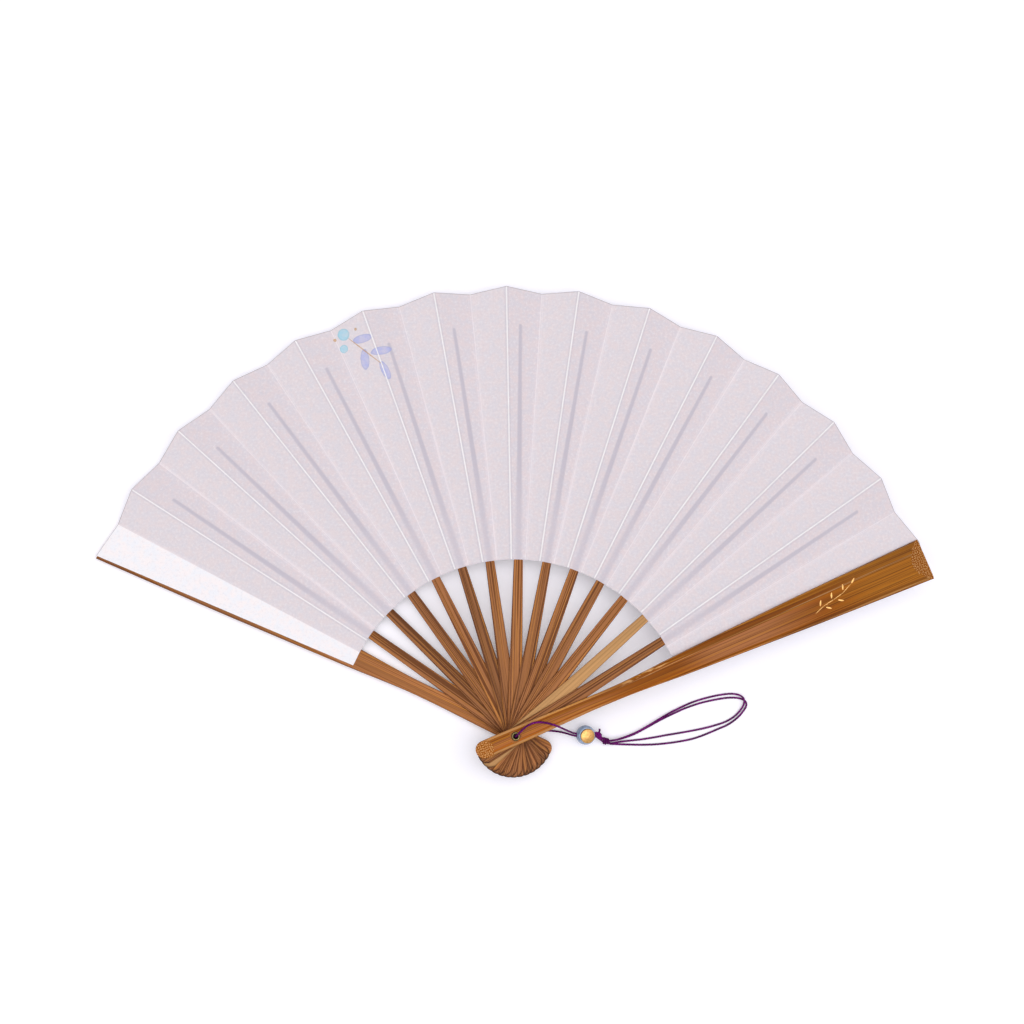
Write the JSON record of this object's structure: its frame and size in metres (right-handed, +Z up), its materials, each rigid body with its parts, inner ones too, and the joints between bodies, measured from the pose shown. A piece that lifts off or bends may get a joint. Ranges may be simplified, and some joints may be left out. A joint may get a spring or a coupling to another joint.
{
  "type": "folding fan",
  "caption": "Pleated paper folding fan with bamboo ribs and guards on one eyelet, and a looped cord with a bead; it folds flat along one guard.",
  "frame": {"origin": "bottom centre of the open fan's box, on the surface that it lies on; the eyelet's axis stands upright behind it at x -1.3 mm, y -88.2 mm", "axes": "+X across the open fan, from the back guard's tip to the front guard's tip; +Y from the eyelet towards the middle of the leaf; +Z up along the eyelet's axis, out of the front face"},
  "size_m": [0.3601, 0.2123, 0.0207],
  "materials": {
    "guard_bamboo": "smoked bamboo skin, satin gloss, fine dark grain along the stick",
    "rib_bamboo": "smoked bamboo, satin, fine grain along the stick",
    "pale_rib_bamboo": "paler bamboo, satin, fine grain along the stick",
    "leaf_paper": "matte lavender-grey handmade paper with fine fibres",
    "end_paper": "matte white handmade paper",
    "eyelet_brass": "darkened brass",
    "cord_silk": "dark purple twisted cord",
    "bead_glaze": "blue-grey gloss glaze",
    "bead_gold": "plain gold-coloured metal, satin"
  },
  "bodies": {
    "back_stick": {"back_guard": "guard_bamboo", "leaf_end_back": "end_paper", "eyelet_barrel": "eyelet_brass", "eyelet_collar": "eyelet_brass", "cord_front": "cord_silk", "cord_back": "cord_silk", "cord_loop_outer": "cord_silk", "cord_loop_inner": "cord_silk", "knot": "cord_silk", "bead": "bead_glaze", "bead_face": "bead_gold"},
    "rib_stick_01": {"rib_01": "rib_bamboo", "leaf_pocket_01": "leaf_paper"},
    "rib_stick_02": {"rib_02": "rib_bamboo", "leaf_pocket_02": "leaf_paper"},
    "rib_stick_03": {"rib_03": "rib_bamboo", "leaf_pocket_03": "leaf_paper"},
    "rib_stick_04": {"rib_04": "rib_bamboo", "leaf_pocket_04": "leaf_paper"},
    "rib_stick_05": {"rib_05": "rib_bamboo", "leaf_pocket_05": "leaf_paper"},
    "rib_stick_06": {"rib_06": "rib_bamboo", "leaf_pocket_06": "leaf_paper"},
    "rib_stick_07": {"rib_07": "rib_bamboo", "leaf_pocket_07": "leaf_paper"},
    "rib_stick_08": {"rib_08": "rib_bamboo", "leaf_pocket_08": "leaf_paper"},
    "rib_stick_09": {"rib_09": "rib_bamboo", "leaf_pocket_09": "leaf_paper"},
    "rib_stick_10": {"rib_10": "rib_bamboo", "leaf_pocket_10": "leaf_paper"},
    "rib_stick_11": {"rib_11": "rib_bamboo", "leaf_pocket_11": "leaf_paper"},
    "rib_stick_12": {"rib_12": "pale_rib_bamboo", "leaf_pocket_12": "leaf_paper"},
    "rib_stick_13": {"rib_13": "rib_bamboo", "leaf_pocket_13": "leaf_paper"},
    "front_stick": {"front_guard": "guard_bamboo", "leaf_end_front": "end_paper"},
    "fold_panel_01": {"leaf_fold_01": "leaf_paper"},
    "fold_panel_02": {"leaf_fold_02": "leaf_paper"},
    "fold_panel_03": {"leaf_fold_03": "leaf_paper"},
    "fold_panel_04": {"leaf_fold_04": "leaf_paper"},
    "fold_panel_05": {"leaf_fold_05": "leaf_paper"},
    "fold_panel_06": {"leaf_fold_06": "leaf_paper"},
    "fold_panel_07": {"leaf_fold_07": "leaf_paper"},
    "fold_panel_08": {"leaf_fold_08": "leaf_paper"},
    "fold_panel_09": {"leaf_fold_09": "leaf_paper"},
    "fold_panel_10": {"leaf_fold_10": "leaf_paper"},
    "fold_panel_11": {"leaf_fold_11": "leaf_paper"},
    "fold_panel_12": {"leaf_fold_12": "leaf_paper"},
    "fold_panel_13": {"leaf_fold_13": "leaf_paper"},
    "fold_panel_14": {"leaf_fold_14": "leaf_paper"}
  },
  "joints": [
    {"name": "spread_01", "type": "hinge", "parent": "back_stick", "child": "rib_stick_01", "pos_m": [-0.00127, -0.0882, 0.00407], "axis": [0, 0, 1], "range_deg": [0, 9.4]},
    {"name": "spread_02", "type": "hinge", "parent": "rib_stick_01", "child": "rib_stick_02", "pos_m": [-0.00127, -0.0882, 0.00502], "axis": [0, 0, 1], "range_deg": [0, 9.4]},
    {"name": "spread_03", "type": "hinge", "parent": "rib_stick_02", "child": "rib_stick_03", "pos_m": [-0.00127, -0.0882, 0.00598], "axis": [0, 0, 1], "range_deg": [0, 9.4]},
    {"name": "spread_04", "type": "hinge", "parent": "rib_stick_03", "child": "rib_stick_04", "pos_m": [-0.00127, -0.0882, 0.00692], "axis": [0, 0, 1], "range_deg": [0, 9.4]},
    {"name": "spread_05", "type": "hinge", "parent": "rib_stick_04", "child": "rib_stick_05", "pos_m": [-0.00127, -0.0882, 0.00788], "axis": [0, 0, 1], "range_deg": [0, 9.4]},
    {"name": "spread_06", "type": "hinge", "parent": "rib_stick_05", "child": "rib_stick_06", "pos_m": [-0.00127, -0.0882, 0.00882], "axis": [0, 0, 1], "range_deg": [0, 9.4]},
    {"name": "spread_07", "type": "hinge", "parent": "rib_stick_06", "child": "rib_stick_07", "pos_m": [-0.00127, -0.0882, 0.00978], "axis": [0, 0, 1], "range_deg": [0, 9.4]},
    {"name": "spread_08", "type": "hinge", "parent": "rib_stick_07", "child": "rib_stick_08", "pos_m": [-0.00127, -0.0882, 0.01073], "axis": [0, 0, 1], "range_deg": [0, 9.4]},
    {"name": "spread_09", "type": "hinge", "parent": "rib_stick_08", "child": "rib_stick_09", "pos_m": [-0.00127, -0.0882, 0.01167], "axis": [0, 0, 1], "range_deg": [0, 9.4]},
    {"name": "spread_10", "type": "hinge", "parent": "rib_stick_09", "child": "rib_stick_10", "pos_m": [-0.00127, -0.0882, 0.01263], "axis": [0, 0, 1], "range_deg": [0, 9.4]},
    {"name": "spread_11", "type": "hinge", "parent": "rib_stick_10", "child": "rib_stick_11", "pos_m": [-0.00127, -0.0882, 0.01358], "axis": [0, 0, 1], "range_deg": [0, 9.4]},
    {"name": "spread_12", "type": "hinge", "parent": "rib_stick_11", "child": "rib_stick_12", "pos_m": [-0.00127, -0.0882, 0.01452], "axis": [0, 0, 1], "range_deg": [0, 9.4]},
    {"name": "spread_13", "type": "hinge", "parent": "rib_stick_12", "child": "rib_stick_13", "pos_m": [-0.00127, -0.0882, 0.01547], "axis": [0, 0, 1], "range_deg": [0, 9.4]},
    {"name": "spread_14", "type": "hinge", "parent": "rib_stick_13", "child": "front_stick", "pos_m": [-0.00127, -0.0882, 0.01578], "axis": [0, 0, 1], "range_deg": [0, 9.4]},
    {"name": "crease_01", "type": "hinge", "parent": "back_stick", "child": "fold_panel_01", "pos_m": [-0.12835, -0.02134, 0.00245], "axis": [0.8849, -0.4656, 0.0093], "range_deg": [0, 153.87], "deforming": ["leaf_fold_01"]},
    {"name": "crease_02", "type": "hinge", "parent": "rib_stick_01", "child": "fold_panel_02", "pos_m": [-0.11573, -0.00148, 0.00297], "axis": [0.797, -0.6039, 0.0077], "range_deg": [0, 149.92], "deforming": ["leaf_fold_02"]},
    {"name": "crease_03", "type": "hinge", "parent": "rib_stick_02", "child": "fold_panel_03", "pos_m": [-0.10003, 0.01605, 0.00392], "axis": [0.6877, -0.726, 0.0077], "range_deg": [0, 149.92], "deforming": ["leaf_fold_03"]},
    {"name": "crease_04", "type": "hinge", "parent": "rib_stick_03", "child": "fold_panel_04", "pos_m": [-0.08167, 0.03078, 0.00487], "axis": [0.5599, -0.8285, 0.0077], "range_deg": [0, 149.92], "deforming": ["leaf_fold_04"]},
    {"name": "crease_05", "type": "hinge", "parent": "rib_stick_04", "child": "fold_panel_05", "pos_m": [-0.06116, 0.04231, 0.00582], "axis": [0.4171, -0.9088, 0.0077], "range_deg": [0, 149.92], "deforming": ["leaf_fold_05"]},
    {"name": "crease_06", "type": "hinge", "parent": "rib_stick_05", "child": "fold_panel_06", "pos_m": [-0.03904, 0.05034, 0.00677], "axis": [0.263, -0.9648, 0.0077], "range_deg": [0, 149.92], "deforming": ["leaf_fold_06"]},
    {"name": "crease_07", "type": "hinge", "parent": "rib_stick_06", "child": "fold_panel_07", "pos_m": [-0.0159, 0.05465, 0.00772], "axis": [0.1019, -0.9948, 0.0077], "range_deg": [0, 149.92], "deforming": ["leaf_fold_07"]},
    {"name": "crease_08", "type": "hinge", "parent": "rib_stick_07", "child": "fold_panel_08", "pos_m": [0.00762, 0.05512, 0.00867], "axis": [-0.0619, -0.9981, 0.0077], "range_deg": [0, 149.92], "deforming": ["leaf_fold_08"]},
    {"name": "crease_09", "type": "hinge", "parent": "rib_stick_08", "child": "fold_panel_09", "pos_m": [0.03091, 0.05175, 0.00962], "axis": [-0.2241, -0.9745, 0.0077], "range_deg": [0, 149.92], "deforming": ["leaf_fold_09"]},
    {"name": "crease_10", "type": "hinge", "parent": "rib_stick_09", "child": "fold_panel_10", "pos_m": [0.05334, 0.04461, 0.01057], "axis": [-0.3803, -0.9249, 0.0077], "range_deg": [0, 149.92], "deforming": ["leaf_fold_10"]},
    {"name": "crease_11", "type": "hinge", "parent": "rib_stick_10", "child": "fold_panel_11", "pos_m": [0.0743, 0.03391, 0.01152], "axis": [-0.5262, -0.8503, 0.0077], "range_deg": [0, 149.92], "deforming": ["leaf_fold_11"]},
    {"name": "crease_12", "type": "hinge", "parent": "rib_stick_11", "child": "fold_panel_12", "pos_m": [0.09323, 0.01993, 0.01247], "axis": [-0.658, -0.753, 0.0077], "range_deg": [0, 149.92], "deforming": ["leaf_fold_12"]},
    {"name": "crease_13", "type": "hinge", "parent": "rib_stick_12", "child": "fold_panel_13", "pos_m": [0.10962, 0.00304, 0.01342], "axis": [-0.7722, -0.6354, 0.0077], "range_deg": [0, 149.92], "deforming": ["leaf_fold_13"]},
    {"name": "crease_14", "type": "hinge", "parent": "rib_stick_13", "child": "fold_panel_14", "pos_m": [0.12303, -0.01629, 0.01437], "axis": [-0.8656, -0.5007, 0.0077], "range_deg": [0, 153.86], "deforming": ["leaf_fold_14"]}
  ],
  "couplings": [
    {"joint": "spread_02", "follows": "spread_01", "ratio": 1},
    {"joint": "spread_03", "follows": "spread_01", "ratio": 1},
    {"joint": "spread_04", "follows": "spread_01", "ratio": 1},
    {"joint": "spread_05", "follows": "spread_01", "ratio": 1},
    {"joint": "spread_06", "follows": "spread_01", "ratio": 1},
    {"joint": "spread_07", "follows": "spread_01", "ratio": 1},
    {"joint": "spread_08", "follows": "spread_01", "ratio": 1},
    {"joint": "spread_09", "follows": "spread_01", "ratio": 1},
    {"joint": "spread_10", "follows": "spread_01", "ratio": 1},
    {"joint": "spread_11", "follows": "spread_01", "ratio": 1},
    {"joint": "spread_12", "follows": "spread_01", "ratio": 1},
    {"joint": "spread_13", "follows": "spread_01", "ratio": 1},
    {"joint": "spread_14", "follows": "spread_01", "ratio": 1},
    {"joint": "crease_01", "follows": "spread_01", "ratio": 16.368},
    {"joint": "crease_02", "follows": "spread_01", "ratio": 15.948},
    {"joint": "crease_03", "follows": "spread_01", "ratio": 15.948},
    {"joint": "crease_04", "follows": "spread_01", "ratio": 15.948},
    {"joint": "crease_05", "follows": "spread_01", "ratio": 15.948},
    {"joint": "crease_06", "follows": "spread_01", "ratio": 15.948},
    {"joint": "crease_07", "follows": "spread_01", "ratio": 15.948},
    {"joint": "crease_08", "follows": "spread_01", "ratio": 15.948},
    {"joint": "crease_09", "follows": "spread_01", "ratio": 15.948},
    {"joint": "crease_10", "follows": "spread_01", "ratio": 15.948},
    {"joint": "crease_11", "follows": "spread_01", "ratio": 15.948},
    {"joint": "crease_12", "follows": "spread_01", "ratio": 15.948},
    {"joint": "crease_13", "follows": "spread_01", "ratio": 15.948},
    {"joint": "crease_14", "follows": "spread_01", "ratio": 16.367}
  ]
}
